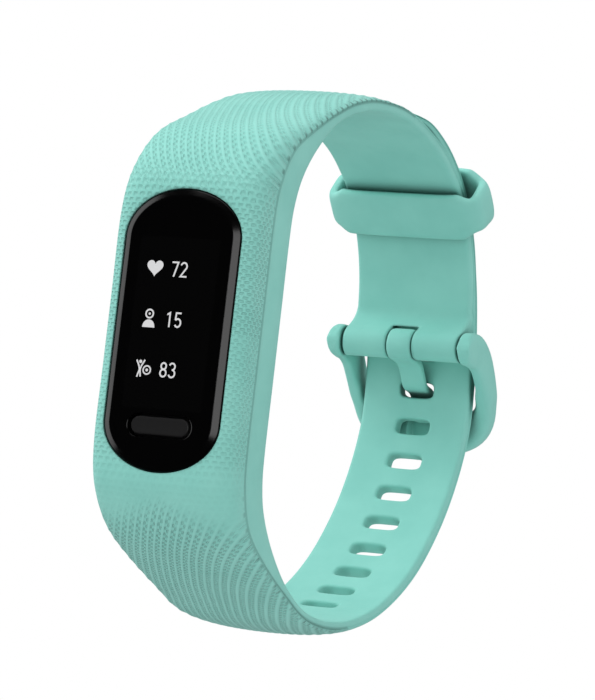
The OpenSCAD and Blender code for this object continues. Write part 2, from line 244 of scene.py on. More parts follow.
def silicone_ribbed():
    """The outer face: curved ribs with a braid of pits between them, rows of short dashes by the lens, and a
    crease along both edges.
    Its colour carries painted shade in the pits, dashes, rib valleys, crease and small notches by the crease,
    and a painted highlight on the rib crests."""
    s, tone, rough, normal = silicone_base("silicone_ribbed")
    rib, row, ribs, weave, across, rim, notched = (attribute(s, a) for a in PATTERN)
    # three lanes to a rib: the rib itself, and two columns of pits
    middle, along, lane = lattice(s, s.math("DIVIDE", row, ROW_STEP), s.times(rib, 3.0), 0.5)
    pitted = s.math("GREATER_THAN", s.math("MODULO", s.math("ADD", lane, 300.0), 3.0), 0.5)
    pit = s.times(s.spread(middle, 0.2, 0.9), s.spread(along, 0.2, 0.9), pitted, ribs)
    painted_valley = s.spread(wave(s, s.math("SUBTRACT", rib, VALLEY_AT)), 0.45, 1.0)
    painted_valley = s.times(s.math("MULTIPLY_ADD", painted_valley, 0.7, 0.3), ribs)
    # dashes lie across the band, in staggered rows
    wander = s.times(s.noise(1.2, 2), DASH_WANDER)
    column = s.math("DIVIDE", s.math("ADD", row, s.times(wander, 0.5)), DASH_ROW)
    line, dash, _ = lattice(s, s.math("DIVIDE", s.math("ADD", across, wander), DASH_STEP), column, 0.5)
    dash = s.times(s.spread(line, 0.3, 1.0), s.spread(dash, 0.1, 0.7), weave)
    # painted shade in the crease and in its notches
    painted_crease = s.spread(rim, 0.12, 0.42, 1.0, 0.0, smooth=True)
    painted_notch = s.spread(wave(s, s.math("DIVIDE", row, NOTCH_STEP)), 0.65, 0.92)
    painted_notch = s.times(painted_notch, s.spread(rim, 0.35, 0.9, 1.0, 0.0), notched, NOTCH_SHADE)
    faint = s.spread(notched, 0.0, 1.0, CREASE_SHADE, CREASE_SHADE * 0.6)
    edge = s.math("MAXIMUM", s.times(painted_crease, faint), painted_notch)
    # painted shade: pits, dashes and rib valleys darken the colour
    holes = s.math("MAXIMUM", pit, dash)
    low = s.math("MULTIPLY_ADD", holes, PIT_SHADE, s.times(painted_valley, VALLEY_SHADE))
    dark = s.math("ADD", edge, low, clamp=True)
    # painted highlight: the rib crests turn lighter
    crest = s.spread(wave(s, s.math("SUBTRACT", rib, CREST_AT)), 0.72, 1.0)
    tone = s.mix(s.times(crest, ribs, CREST_HIGHLIGHT), tone, MINT_HIGHLIGHT)
    normal = s.bump(s.math("SUBTRACT", 1.0, holes), PIT_DEPTH, 1.0, normal)
    return s.done(s.mix(dark, tone, MINT_SHADE), rough, normal)


def plastic(name, colour, roughness=0.45, grain=6.0, depth=0.01, spread=0.25, **sockets):
    s = Shader(name, roughness=roughness, **sockets)
    dark = tuple(c * (1 - spread) for c in colour)
    rough = s.spread(s.noise(0.8, 4), 0.3, 0.7, roughness * 0.8, min(1.0, roughness * 1.25))
    return s.done(s.mix(s.noise(0.35, 4), dark, colour), rough, s.bump(s.noise(grain, 3), depth, 0.7))


def metal(name, colour, roughness=0.28, stretch=(1, 12, 12)):
    s = Shader(name, roughness=roughness, metallic=1.0)
    streak = s.noise(1.6, 5, stretch)
    tone = s.mix(streak, tuple(c * 0.75 for c in colour), colour)
    rough = s.spread(streak, 0.3, 0.7, roughness * 0.7, roughness * 1.5)
    return s.done(tone, rough, s.bump(streak, 0.004, 0.6))


BLACK, SCREEN_BLACK = (0.0008, 0.0008, 0.0009), (0.0015, 0.0015, 0.0016)
GROUND = 0.2  # roughness of the bevelled edge
SCREEN = (5.4, 10.4)  # half width and half height of the lit area


def lens_material():
    """Black glass, a shade less black over the display, with faint dust and smears in the gloss."""
    s = Shader("lens_glass", roughness=0.06, Specular_IOR_Level=0.5)
    x, y, z = s.node("SeparateXYZ", [(0, s.place())]).outputs
    inside = (s.math("LESS_THAN", s.math("ABSOLUTE", t), half) for t, half in zip((x, z), SCREEN))
    tone = s.mix(s.times(*inside), BLACK, SCREEN_BLACK)
    polish = s.spread(s.noise(0.5, 5), 0.35, 0.75, 0.045, 0.11)
    rough = s.spread(y, LENS_Y + 0.01, LENS_Y + 0.2, polish, GROUND)
    return s.done(tone, rough, s.bump(s.noise(0.2, 2), 0.004, 0.3))


def key_material():
    s = Shader("key_plastic", roughness=0.42, Specular_IOR_Level=0.4)
    tone = s.mix(s.noise(2.5, 3), (0.0136, 0.0136, 0.014), (0.017, 0.017, 0.0175))
    return s.done(tone, normal=s.bump(s.noise(8, 2), 0.006, 0.5))


def glow_material():
    """Display pixels seen as soft white light, a little uneven."""
    s = Shader("display_glow", roughness=0.4)
    level = s.mix(s.noise(4.0, 2), (0.60, 0.60, 0.61), (0.72, 0.72, 0.73))
    s.feed(s.main.inputs["Emission Color"], level)
    s.feed(s.main.inputs["Emission Strength"], 1.0)
    return s.done((0.02, 0.02, 0.02, 1))


def board_material():
    s = Shader("board", roughness=0.4)
    trace = s.node("TexVoronoi", [("Vector", s.place()), ("Scale", 0.9)], feature="DISTANCE_TO_EDGE")
    line = s.spread(trace.outputs["Distance"], 0.02, 0.06, 1.0, 0.0)
    tone = s.mix(line, (0.01, 0.09, 0.04), (0.03, 0.20, 0.09))
    return s.done(tone, s.spread(s.noise(1.5, 3), 0.3, 0.7, 0.3, 0.5), s.bump(line, 0.02, 0.6))


# ---------------- mesh tools
def add_mesh(name, verts, faces, material, body, smooth=True):
    """A piece from points in mm; it rides on its body."""
    mesh = bpy.data.meshes.new(name)
    mesh.from_pydata((np.asarray(verts, float) * MM).tolist(), [], faces)
    mesh.validate()
    mesh.polygons.foreach_set("use_smooth", [smooth] * len(mesh.polygons))
    mesh.materials.append(material)
    piece = bpy.data.objects.new(name, mesh)
    link(piece)
    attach(piece, body)
    return piece


def catmull(points, steps):
    """Points on a smooth curve through the rows of points."""
    p = np.asarray(points, float)
    n = len(p) - 1
    u = np.linspace(0, n, n * steps + 1)
    i = np.clip(np.floor(u).astype(int), 0, n - 1)
    t = (u - i)[:, None]
    a, b, c, d = (p[np.clip(i + k, 0, n)] for k in (-1, 0, 1, 2))
    square, cube = 2 * a - 5 * b + 4 * c - d, 3 * b - a - 3 * c + d
    return 0.5 * (2 * b + (c - a) * t + square * t ** 2 + cube * t ** 3)


def lengths(points):
    return np.concatenate([[0], np.cumsum(np.linalg.norm(np.diff(points, axis=0), axis=1))])


def at(s, run, values):
    """values, given along run, at the places s."""
    values = np.asarray(values)
    if values.ndim == 1:
        return np.interp(s, run, values)
    return np.stack([np.interp(s, run, values[:, k]) for k in range(values.shape[1])], -1)


def rounded(half_u, half_v, power, count):
    """A soft rectangle: count points round it."""
    a = np.arange(count) * 2 * math.pi / count
    c, s = np.cos(a), np.sin(a)
    u, v = (np.sign(t) * abs(t) ** (2 / power) for t in (c, s))
    return np.stack([half_u * u, half_v * v], -1)


def soft_box(angle, half_u, half_v, power):
    """Points of a soft rectangle in these directions, as seen when it is stretched to a square."""
    c, s = np.cos(angle), np.sin(angle)
    far = (abs(c) ** power + abs(s) ** power) ** (-1 / power)
    return np.stack([half_u * c * far, half_v * s * far], -1)


def grid_faces(index, closed_rows=False, closed_columns=False, skip=None):
    """Quads between neighbouring rows and columns of a table of vertex numbers, but for the skipped ones."""
    if closed_rows:
        index = np.concatenate([index, index[:1]])
    if closed_columns:
        index = np.concatenate([index, index[:, :1]], 1)
    quads = np.stack([index[:-1, :-1], index[:-1, 1:], index[1:, 1:], index[1:, :-1]], -1)
    return (quads.reshape(-1, 4) if skip is None else quads[~skip]).tolist()


def face(*loops):
    """One face through all the vertex numbers, in order."""
    return np.concatenate(loops).tolist()


def unit(vectors):
    return vectors / np.linalg.norm(vectors, axis=-1)[..., None]


def sweep(centres, across, outward, shapes):
    """A closed tube: shapes[i] is set out at centres[i] along two directions, and both ends are closed."""
    rings = [c + s[:, :1] * a + s[:, 1:] * o for c, a, o, s in zip(centres, across, outward, shapes)]
    sides = len(shapes[0])
    index = np.arange(len(rings) * sides).reshape(-1, sides)
    faces = grid_faces(index, closed_columns=True)
    faces += [face(index[0][::-1]), face(index[-1])]
    return np.concatenate(rings), faces


def join(*parts):
    verts, faces, base = [], [], 0
    for v, f in parts:
        verts.append(np.asarray(v))
        faces += [tuple(i + base for i in g) for g in f]
        base += len(v)
    return np.concatenate(verts), faces


def fix_normals(piece):
    bm = bmesh.new()
    bm.from_mesh(piece.data)
    bmesh.ops.recalc_face_normals(bm, faces=bm.faces)
    bm.to_mesh(piece.data)
    bm.free()


def fuse(piece, voxel, smooths):
    """Melts overlapping shells into one smooth skin."""
    fix_normals(piece)
    grid = piece.modifiers.new("fuse", "REMESH")
    grid.mode, grid.voxel_size, grid.use_smooth_shade = "VOXEL", voxel * MM, True
    soft = piece.modifiers.new("soften", "SMOOTH")
    soft.factor, soft.iterations = 0.5, smooths
    graph = bpy.context.evaluated_depsgraph_get()
    mesh = bpy.data.meshes.new_from_object(piece.evaluated_get(graph))
    piece.modifiers.clear()
    piece.data = mesh
    mesh.polygons.foreach_set("use_smooth", [True] * len(mesh.polygons))


# ---------------- the band
ARC_Y, ARC_Z, ARC_R = 5.0, 8.4, 22.6
STRAP_T, TAIL_T, GAP = 1.7, 1.5, 0.2
TAIL_R = ARC_R + STRAP_T + GAP


def arc_rows(radius, section, angles, lift):
    """Rows on the strap's arc, at these angles and so far above it."""
    rows = []
    for a, u in zip(np.radians(angles), lift):
        rows.append((ARC_Y + (radius + u) * math.cos(a), ARC_Z + (radius + u) * math.sin(a), *section))
    return rows


LOW_STRAP = (19.5, -24.6), (25.3, -18.4), (29.2, -11.8), (31.4, -5), (31.4, 1)
# Inner face of the band, from the barrel over the top and round to the tail:
# y, z, thickness at the middle, thickness at the edge, half width, squareness, droop of the edges
ROWS = (
    arc_rows(ARC_R, (STRAP_T, 1.15, 8.5, 2.2, 0), (4, 14, 24, 34, 44, 54), [0] * 6)
    + [(12.6, 29.7, 1.6, 1.1, 8.5, 2.2, 0), (3, 32.1, 1.7, 1.15, 8.55, 2.2, 0),
       (-6, 31.9, 2.1, 1.25, 8.75, 2.2, 0), (-13, 30.4, 2.4, 1.35, 9.0, 2.3, 0),
       (-18.8, 27.9, 3.1, 1.5, 9.2, 2.4, 0), (-23.6, 24.1, 4.9, 2.8, 9.4, 2.7, 0),
       (-26.9, 20.3, 7.5, 4.5, 9.6, 3.4, 0), (-28.5, 16.6, 9.4, 5.1, 9.7, 4.6, 0),
       *((-29, z, 9.75, 5.2, 9.75, 6, 0) for z in (12.5, 4, -5, -14)),
       (-28.5, -18, 9.5, 5.1, 9.7, 4.6, 0), (-26.9, -21.4, 7.6, 4.6, 9.55, 3.4, 0),
       (-23.4, -25.4, 4.9, 2.8, 9.4, 2.7, 0), (-18.2, -29.3, 3.0, 1.3, 9.2, 2.4, 0),
       (-12, -32, 2.4, 1.0, 9.05, 2.3, 0), (-4, -32.8, 2.2, 0.95, 8.5, 2.2, 0),
       (4, -32, 2, 1.0, 8.1, 2.2, 0), (12, -29.4, 2, 1.1, 8, 2.2, 0),
       *((y, z, 2, 1.2, 8, 2.2, 0) for y, z in LOW_STRAP), (30.7, 6.5, 1.7, 1.2, 8, 2.2, 0.1)]
    + arc_rows(TAIL_R, (TAIL_T, 1.05, 8, 2.2, 0.3), (8, 18, 28, 38, 48, 58, 68), [0.5] + [0] * 6)
    + [(9.5, 32.85, 1.2, 0.8, 8, 2.2, 0.3), (4, 33.95, 0.8, 0.5, 8, 2.2, 0.3)])
# The rolled end: a point of the inner face and the point of the outer face across from it
ROLL_ROWS = [(25.95, 3.6, 26.05, 3.6), (25.1, 3.83, 26.8, 3.72), (24.4, 4.5, 27.5, 4.2),
             (24.1, 5.4, 27.95, 5.0), (24.2, 6.3, 28.3, 6.0), (24.75, 7.1, 28.6, 7.0),
             (25.65, 7.75, 28.85, 8.0), (26.6, 8.5, 29.05, 9.0), (27.2, 9.25, 29.17, 9.6)]
SLOT_TOP = 8.0
DENSE = 24
SECTION = ("crown", "edge", "half", "square", "sag")


class Ribbon:
    """The band's shape as tables along its inner face."""

    def __init__(self):
        rows = catmull(ROWS, DENSE)
        inner = rows[:, :2]
        tangent = unit(np.gradient(inner, axis=0))
        outer = np.stack([tangent[:, 1], -tangent[:, 0]], -1)
        first = [*inner[0], *(inner[0] + outer[0] * rows[0, 2])]
        roll = catmull(ROLL_ROWS + [first], DENSE)[:-1]
        across = roll[:, 2:] - roll[:, :2]
        crown = np.linalg.norm(across, axis=1)
        even = np.ones(len(roll))
        self.inner = np.concatenate([roll[:, :2], inner])
        self.outward = np.concatenate([unit(across), outer])
        rolled = crown, np.maximum(crown - 0.3, 0.06), 8.6 * even, 2.4 * even, 0 * even
        for k, (name, values) in enumerate(zip(SECTION, rolled)):
            setattr(self, name, np.concatenate([values, rows[:, k + 2]]))
        self.run = lengths(self.inner)
        self.length = self.run[-1]
        self.half *= self.tip(self.run)

    def read(self, s, *tables):
        """The values of these tables at the places s."""
        return (at(s, self.run, getattr(self, table)) for table in tables)

    def tip(self, s):
        """The tail's end is a soft round."""
        t = np.clip((s - (self.length - TIP_LENGTH)) / TIP_LENGTH, 0, 1)
        return (1 - t ** 2.4) ** (1 / 2.4)

    def find(self, y, z):
        """Where along the band the inner face is nearest to a point."""
        return self.run[np.argmin(np.hypot(self.inner[:, 0] - y, self.inner[:, 1] - z))]

    def point(self, s, x, h):
        """x across, and h out from the inner face, at s along the band."""
        base, out = self.read(s, "inner", "outward")
        out = unit(out)
        return np.stack([x, base[..., 0] + h * out[..., 0], base[..., 1] + h * out[..., 1]], -1)

    def height(self, s, x):
        """Height of the outer face above the inner face."""
        crown, edge, half, square, sag = self.read(s, *SECTION)
        f = np.clip(abs(x) / half, 0, 1)
        return edge + (crown - edge) * (1 - f ** square) ** (1 / square) - sag * f * f

    def profile(self, s, q):
        """A point of the outer face, q from -1 to 1 across it: x, h, the normal there, and how far
        it is from the middle and from the edge."""
        crown, edge, half, square, sag = (table[:, None] for table in self.read(s, *SECTION))
        steps = np.linspace(0, 1, PROFILE_STEPS)[None, :]
        knee = 0.5 ** (1 / square)
        f = np.concatenate([steps * knee, (1 - (knee * (1 - steps[:, 1:])) ** square) ** (1 / square)], 1)
        g = (np.maximum(1 - f ** square, 0)) ** (1 / square)
        x, h = f * half, edge + (crown - edge) * g - sag * f * f
        dx, dh = np.diff(x, axis=1), np.diff(h, axis=1)
        piece = np.maximum(np.hypot(dx, dh), 1e-9)
        run = np.concatenate([np.zeros((len(x), 1)), np.cumsum(piece, 1)], 1)
        target = abs(q)[:, None] * run[:, -1:]
        k = np.clip((run < target).sum(1) - 1, 0, piece.shape[1] - 1)
        r = np.arange(len(k))
        t = (target[:, 0] - run[r, k]) / piece[r, k]
        side = np.where(q < 0, -1.0, 1.0)
        nx, nh = -dh[r, k] / piece[r, k], dx[r, k] / piece[r, k]
        return (side * (x[r, k] + t * dx[r, k]), h[r, k] + t * dh[r, k], side * nx, nh, side * target[:, 0],
                run[:, -1] - target[:, 0])


TIP_LENGTH, PROFILE_STEPS = 7.5, 14
LENS_HW, LENS_HZ, LENS_END, LENS_Z = 7.9, 17.15, 6.0, -0.75
LENS_GAP, CASE_OUT, FLANGE, FLANGE_GAP, FLANGE_DEEP = 0.1, 0.15, 0.6, 0.15, 2.5
# The rim column's value where there is no pattern
PLAIN = 9.0
# TOP_RIB_SHADING weakens the ribs' painted shade and painted highlight on the top of the band
RIB_STEP, RIB_HEIGHT, RIB_SINK, GROOVE, TOP_RIB_SHADING = 0.125, 0.075, 0.03, 0.12, 0.5


def smooth(value, low, high):
    t = np.clip((value - low) / (high - low), 0, 1)
    return t * t * (3 - 2 * t)


def pattern_end(ribbon, s, lens_low):
    """1 on the pattern, fading to 0 where the straps begin."""
    y = next(ribbon.read(s, "inner"))[:, 0]
    return np.where(s > lens_low, 1 - smooth(y, -2.0, 2.0), 1 - smooth(y, 0.0, 4.0))


def texture(ribbon, s, across, rim, x, half, lens_low, lens_high):
    """A column for each name in PATTERN, then the ribs' strength and where the pattern ends.
    beyond is the distance past the lens's ends, below 0 beside it, and u is x on a band of full width."""
    beyond = np.maximum(s - lens_low, lens_high - s)
    u = 9.75 * x / half
    side = abs(u)
    rib = 1.693 * np.arctan((0.09 * u + 0.25) / 1.1813) + np.log(np.maximum(beyond, -4.0) + 6.0)
    end = pattern_end(ribbon, s, lens_low)
    plain = smooth(rim, 0.12, 0.4)
    top = s < (lens_low + lens_high) / 2
    start = smooth(beyond, 0.8 + 0.15 * side, 3.8 + 0.25 * side)
    ribs = np.where(top, smooth(beyond, -1.0, 1.5), start) * end * plain
    start = smooth(beyond, 0.6 + 0.2 * side, 4 + 0.25 * side)
    near = np.where(top, smooth(beyond, -0.5, 2.2 + 0.1 * side), start)
    # how strong the painted shade and highlight are: for the ribs weaker on the top, for the dashes and
    # notches weaker on the bottom
    weave = (1 - near) * np.where(top, 1.0, 0.7 - 0.5 * smooth(beyond, -1.5, 1.0)) * plain
    tone = ribs * np.where(top, TOP_RIB_SHADING + 0.2 * (1 - smooth(beyond, 3.0, 9.0)), 1.0)
    notch_shading = np.where(top, 1.0, 0.6) * smooth(beyond, 0.0, 3.0)
    rim = np.where(end > 0, rim, PLAIN)
    return np.stack([rib / RIB_STEP, s, tone, weave, across, rim, notch_shading], -1), ribs, end


def lens_outline(grow, z0, angle):
    """A point of the lens outline: z0 is the place on the straight middle, angle turns round its end."""
    return (LENS_HW + grow) * np.cos(angle), LENS_Z + z0 + (LENS_END + grow) * np.sin(angle)


def rim_of(points_x, points_z, reach_z, grow):
    """For points round a box about the lens, the matching points of the lens outline."""
    straight = LENS_HZ - LENS_END
    z = points_z - LENS_Z
    side = np.clip(z, LENS_END - reach_z, reach_z - LENS_END)
    angle = np.arctan2((z - side) / LENS_END, points_x / abs(points_x).max())
    return lens_outline(grow, side * straight / (reach_z - LENS_END), angle)


def box_loop(index):
    """The vertex numbers round the edge of a table, in order."""
    return np.concatenate([index[0, :], index[1:, -1], index[-1, -2::-1], index[-2:0:-1, 0]])


class Build:
    """The band's mesh as it grows: blocks of points, their pattern coordinates, and faces."""

    def __init__(self):
        self.verts, self.faces, self.extra, self.count = [], [], [], 0

    def add(self, points, extra=None):
        shape, points = points.shape[:-1], points.reshape(-1, 3)
        self.verts.append(points)
        self.extra.append(np.zeros((len(points), len(PATTERN))) if extra is None else extra)
        self.count += len(points)
        return np.arange(self.count - len(points), self.count).reshape(shape)

    def bridge(self, a, b, closed=True):
        """Quads between two loops with the same number of points."""
        self.faces += grid_faces(np.stack([a, b]), closed_columns=closed)

    def bridge_all(self, rings):
        for a, b in zip(rings, rings[1:]):
            self.bridge(a, b)

    def zip_rows(self, a, b, places_a=None, places_b=None):
        """Triangles between two open rows with different numbers of points, matched by their places."""
        places_a = np.arange(len(a)) / (len(a) - 1) if places_a is None else places_a
        places_b = np.arange(len(b)) / (len(b) - 1) if places_b is None else places_b
        i = j = 0
        while i < len(a) - 1 or j < len(b) - 1:
            if j == len(b) - 1 or (i < len(a) - 1 and places_a[i + 1] <= places_b[j + 1]):
                self.faces.append([int(a[i]), int(a[i + 1]), int(b[j])])
                i += 1
            else:
                self.faces.append([int(a[i]), int(b[j + 1]), int(b[j])])
                j += 1


WALL_INSET, WALL_ROUND = 0.16, 0.5


def wall_points(edge, half):
    """The side of the band from the outer face's edge to the inner face: x and h at a few places."""
    inset = np.minimum(WALL_INSET, 0.2 * half)
    soft = np.minimum(WALL_ROUND, 0.3 * half)
    low = np.minimum(0.45, 0.35 * edge)
    turns = ((0.1, 0), (1, 0), (1, 0), (1, 0), (1, 0), (1, 0.15), (1, 0.5), (1, 1))
    x = [half - a * inset - b * soft for a, b in turns]
    h = [0.95 * edge, 0.88 * edge, 0.8 * edge, 0.4 * edge + 0.5 * low, low, 0.42 * low, 0.1 * low, 0 * low]
    return np.stack(x, -1), np.stack(h, -1)


def wall_pattern(ribbon, s, below, pattern):
    """The pattern's coordinates on a side wall, which only has the painted shade line next to the crease."""
    extra = np.zeros((s.size, len(PATTERN)))
    extra[:, 1], extra[:, 5] = s.ravel(), PLAIN
    if pattern is not None:
        end, below = pattern_end(ribbon, s.ravel(), pattern[0]), below.ravel()
        extra[:, 5] = np.where((end > 0) & (below < 0.7), np.maximum(below, 0.01), PLAIN)
    return extra


def ribbon_rows(build, ribbon, s, q_out, q_in, pattern=None):
    """The grids of one stretch of the band: outer face, right side, inner face and left side."""
    out = outer_points(build, ribbon, *np.meshgrid(s, q_out, indexing="ij"), pattern)
    edge, half, sag = (table[:, None] for table in ribbon.read(s, "edge", "half", "sag"))
    wx, wh = (table[:, 0] for table in wall_points(edge, half))
    wh = wh - sag * (wx / half) ** 2
    at_wall = np.repeat(s[:, None], wx.shape[1], 1)
    sides = wall_pattern(ribbon, at_wall, edge - wh, pattern)
    right = build.add(ribbon.point(at_wall, wx, wh), sides)
    left = build.add(ribbon.point(at_wall, -wx, wh), sides)
    x = q_in[None, 1:-1] * wx[:, -1:]
    inner = build.add(ribbon.point(np.repeat(s[:, None], x.shape[1], 1), x, -sag * (x / half) ** 2))
    return {"s": s, "q_out": q_out, "out": out,
            "inn": np.concatenate([left[:, -1:], inner, right[:, -1:]], 1),
            "right": np.concatenate([out[:, -1:], right], 1),
            "left": np.concatenate([out[:, :1], left], 1)}


def outer_points(build, ribbon, along, places, pattern=None):
    """Points of the outer face, with the pattern's relief."""
    s = along.ravel()
    x, h, nx, nh, across, rim = ribbon.profile(s, places.ravel())
    extra = None
    if pattern is not None:
        extra, ribs, end = texture(ribbon, s, across, rim, x, *ribbon.read(s, "half"), *pattern)
        crest = (0.5 + 0.5 * np.cos(2 * math.pi * (extra[:, 0] - CREST_AT))) ** 5
        lift = ribs * (RIB_HEIGHT * crest - RIB_SINK) - GROOVE * (1 - smooth(rim, 0.0, 0.2)) * end
        x, h = x + lift * nx, h + lift * nh
    return build.add(ribbon.point(s, x, h).reshape(along.shape + (3,)), extra)


def close_faces(build, g, outer_boxes, inner_boxes):
    """The faces of one stretch, but for boxes of cells: first and last row, first and last column."""
    for side, boxes in (("out", outer_boxes), ("inn", inner_boxes), ("right", ()), ("left", ())):
        skip = np.zeros(np.array(g[side].shape) - 1, bool)
        for r0, r1, c0, c1 in boxes:
            skip[r0:r1, c0:c1] = True
        build.faces += grid_faces(g[side], skip=skip)


def link_rows(build, a, b):
    """Joins the last row of one stretch to the first row of the next."""
    build.zip_rows(a["out"][-1], b["out"][0])
    build.zip_rows(a["inn"][-1], b["inn"][0])
    for side in ("left", "right"):
        build.bridge(a[side][-1], b[side][0], closed=False)


def loop_of(g, row):
    """The vertex numbers once round the band at this row."""
    out, right, inner, left = (g[side][row] for side in ("out", "right", "inn", "left"))
    return np.concatenate([out, right[1:], inner[-2::-1], left[-2:0:-1]])


HOLE_L, HOLE_W, HOLE_PITCH, HOLE_SOFT, HOLE_POWER = 4.9, 2.1, 5.0, 0.38, 4.0
# The hole that the tongue sits in, and how many more there are on each side of it
TONGUE_HOLE, HOLES_BELOW, HOLES_ABOVE = (31.4, 0.0), 8, 8
# Length of a row of the long strap's mesh, its columns, and half the box about a hole
STEP_B, CELLS_B, HOLE_CELLS, HOLE_ROWS = 0.5, 32, 8, 4


def hole_rings():
    """How far outside the hole's wall, and how far below the face, each ring lies."""
    turn = np.radians([22.5, 45, 67.5, 90])
    soft = zip(HOLE_SOFT * (1 - np.sin(turn)), HOLE_SOFT * (1 - np.cos(turn)))
    return [(HOLE_SOFT + 0.25, 0.0), (HOLE_SOFT, 0.0), *soft]


def strap_hole(build, ribbon, g, row, c0, c1):
    """Fills the box about one hole with rings that end in its soft rim, on both faces, and joins them."""
    loops = []
    for side in ("out", "inn"):
        near = slice(row - HOLE_ROWS, row + HOLE_ROWS + 1)
        cells, s_near = g[side][near, c0:c1 + 1], g["s"][near]
        rings = [box_loop(cells)]
        s = box_loop(np.repeat(s_near[:, None], cells.shape[1], 1)) - g["s"][row]
        x = np.concatenate(build.verts)[rings[0], 0]
        angle = np.arctan2(s / abs(s).max(), x / abs(x).max())
        for grow, sink in hole_rings():
            x, s = soft_box(angle, HOLE_L / 2 + grow, HOLE_W / 2 + grow, HOLE_POWER).T
            s = s + g["s"][row]
            sag, half = ribbon.read(s, "sag", "half")
            h = ribbon.height(s, x) - sink if side == "out" else sink - sag * (x / half) ** 2
            rings.append(build.add(ribbon.point(s, x, h)))
        build.bridge_all(rings)
        loops.append(rings[-1])
    build.bridge(*loops)


LENS_RINGS, RIM_DEPTH = 14, 0.5
# The box of cells about the lens: how far past its ends, and how far across the outer face
BOX_PAST, BOX_ACROSS = 2.6, 0.79


def lens_opening(build, ribbon, g, pattern):
    """Cuts the pocket for the module: a rim on the outer face, a ledge, and a wider mouth on the inner face.
    Gives the box of cells that it takes out of the outer face."""
    s, wide = g["s"], g["q_out"]
    mid = (pattern[0] + pattern[1]) / 2
    rows = np.where(abs(s - mid) <= (pattern[0] - pattern[1]) / 2 + BOX_PAST)[0]
    cols = np.where(abs(wide) <= BOX_ACROSS)[0]
    r0, r1, c0, c1 = rows[0], rows[-1], cols[0], cols[-1]
    border = box_loop(g["out"][r0:r1 + 1, c0:c1 + 1])
    bs, bq = (box_loop(table) for table in np.meshgrid(s[r0:r1 + 1], wide[c0:c1 + 1], indexing="ij"))
    points = np.concatenate(build.verts)[border]
    reach_z = abs(points[:, 2] - LENS_Z).max()
    x, z = rim_of(points[:, 0], points[:, 2], reach_z, LENS_GAP)
    ps = s_of_front(ribbon, x, z, mid)
    pq = q_of(ribbon, ps, x)
    rings = [border]
    for t in np.linspace(0, 1, LENS_RINGS + 1)[1:]:
        rings.append(outer_points(build, ribbon, bs + (ps - bs) * t, bq + (pq - bq) * t, pattern))
        build.verts[-1][:, 1] += (LENS_Y + RIM_DEPTH - build.verts[-1][:, 1]) * t ** 3
    rim = np.concatenate(build.verts)[rings[-1]]
    ledge = LENS_Y + FLANGE_DEEP - FLANGE_GAP
    steps = ((-0.03, rim[:, 1] + 0.12), (-0.03, LENS_Y + 1.0), (CASE_OUT + 0.02, LENS_Y + 1.2),
             (CASE_OUT + 0.02, ledge), (CASE_OUT + FLANGE + FLANGE_GAP - LENS_GAP, ledge))
    for grow, y in steps:
        x, z = rim_of(points[:, 0], points[:, 2], reach_z, LENS_GAP + grow)
        rings.append(build.add(np.stack([x, 0 * x + y, z], -1)))
    build.bridge_all(rings)
    stitch_loops(build, rings[-1], mouth(build, ribbon, g["inn"][r0:r1 + 1], mid))
    return r0, r1, c0, c1


def mouth(build, ribbon, cells, mid):
    """The inner face's edge of the pocket."""
    border = box_loop(cells)
    points = np.concatenate(build.verts)[border]
    reach_z = abs(points[:, 2] - LENS_Z).max()
    x, z = rim_of(points[:, 0], points[:, 2], reach_z, CASE_OUT + FLANGE + FLANGE_GAP)
    s = s_of_inner(ribbon, z, mid)
    ring = build.add(ribbon.point(s, x, 0 * x))
    deep = build.add(ribbon.point(s, x, 0 * x + 0.5))
    build.bridge_all([border, ring, deep])
    return deep


def stitch_loops(build, *loops):
    """Triangles between two closed loops, matched by their direction from the middle of the lens."""
    verts = np.concatenate(build.verts)
    rows, places = [], []
    for loop in loops:
        turn = np.arctan2((verts[loop][:, 2] - LENS_Z) / LENS_HZ, verts[loop][:, 0] / LENS_HW)
        if np.unwrap(turn)[-1] < np.unwrap(turn)[0]:
            loop, turn = loop[::-1], turn[::-1]
        k = int(np.argmin(turn))
        loop, turn = np.roll(loop, -k), np.unwrap(np.roll(turn, -k))
        rows.append(np.append(loop, loop[0]))
        places.append(np.append(turn, turn[0] + 2 * math.pi))
    build.zip_rows(*rows, *places)


def s_of_front(ribbon, x, z, mid):
    """Where along the band the outer face has this x and z, near the module."""
    s = mid - (z - LENS_Z)
    for _ in range(12):
        low = ribbon.point(s, x, ribbon.height(s, x))[:, 2]
        high = ribbon.point(s + 0.05, x, ribbon.height(s + 0.05, x))[:, 2]
        s = s + np.clip((z - low) / np.minimum((high - low) / 0.05, -0.2), -1, 1)
    return s


def s_of_inner(ribbon, z, mid):
    """Where along the band the inner face has this z, near the module."""
    near = abs(ribbon.run - mid) < 26
    heights, run = ribbon.inner[near, 1], ribbon.run[near]
    order = np.argsort(heights)
    return np.interp(z, heights[order], run[order])


def q_of(ribbon, s, x):
    """The place across the outer face, from -1 to 1, that has this x."""
    low, high = np.zeros(len(x)), np.ones(len(x))
    for _ in range(24):
        q = (low + high) / 2
        inside = ribbon.profile(s, q)[0] < abs(x)
        low, high = np.where(inside, q, low), np.where(inside, high, q)
    return np.sign(x) * (low + high) / 2


# Half the slot for the tongue, its rows, and its first and last column
SLOT_HALF, SLOT_ROWS, SLOT_LEFT, SLOT_RIGHT = 1.95, 18, 12, 20
# Half widths of the outer and the inner face by the slot, the length that the roll takes, rows above the slot
SLOT_OUT, SLOT_IN, ROLL_LONG, SHORT_ROWS = 8.6, 7.94, 12, 59
# Columns of the patterned stretch outside and inside, and the length of a row
CELLS_T, CELLS_IN, STEP_T = 96, 16, 0.22
# y and z where the pattern starts and stops, and the gaps to the next stretch, which triangles fill
PATTERN_TOP, PATTERN_LOW, GAP_TOP, GAP_LOW = (4.5, 32), (2.5, -32.4), 0.3, 0.2
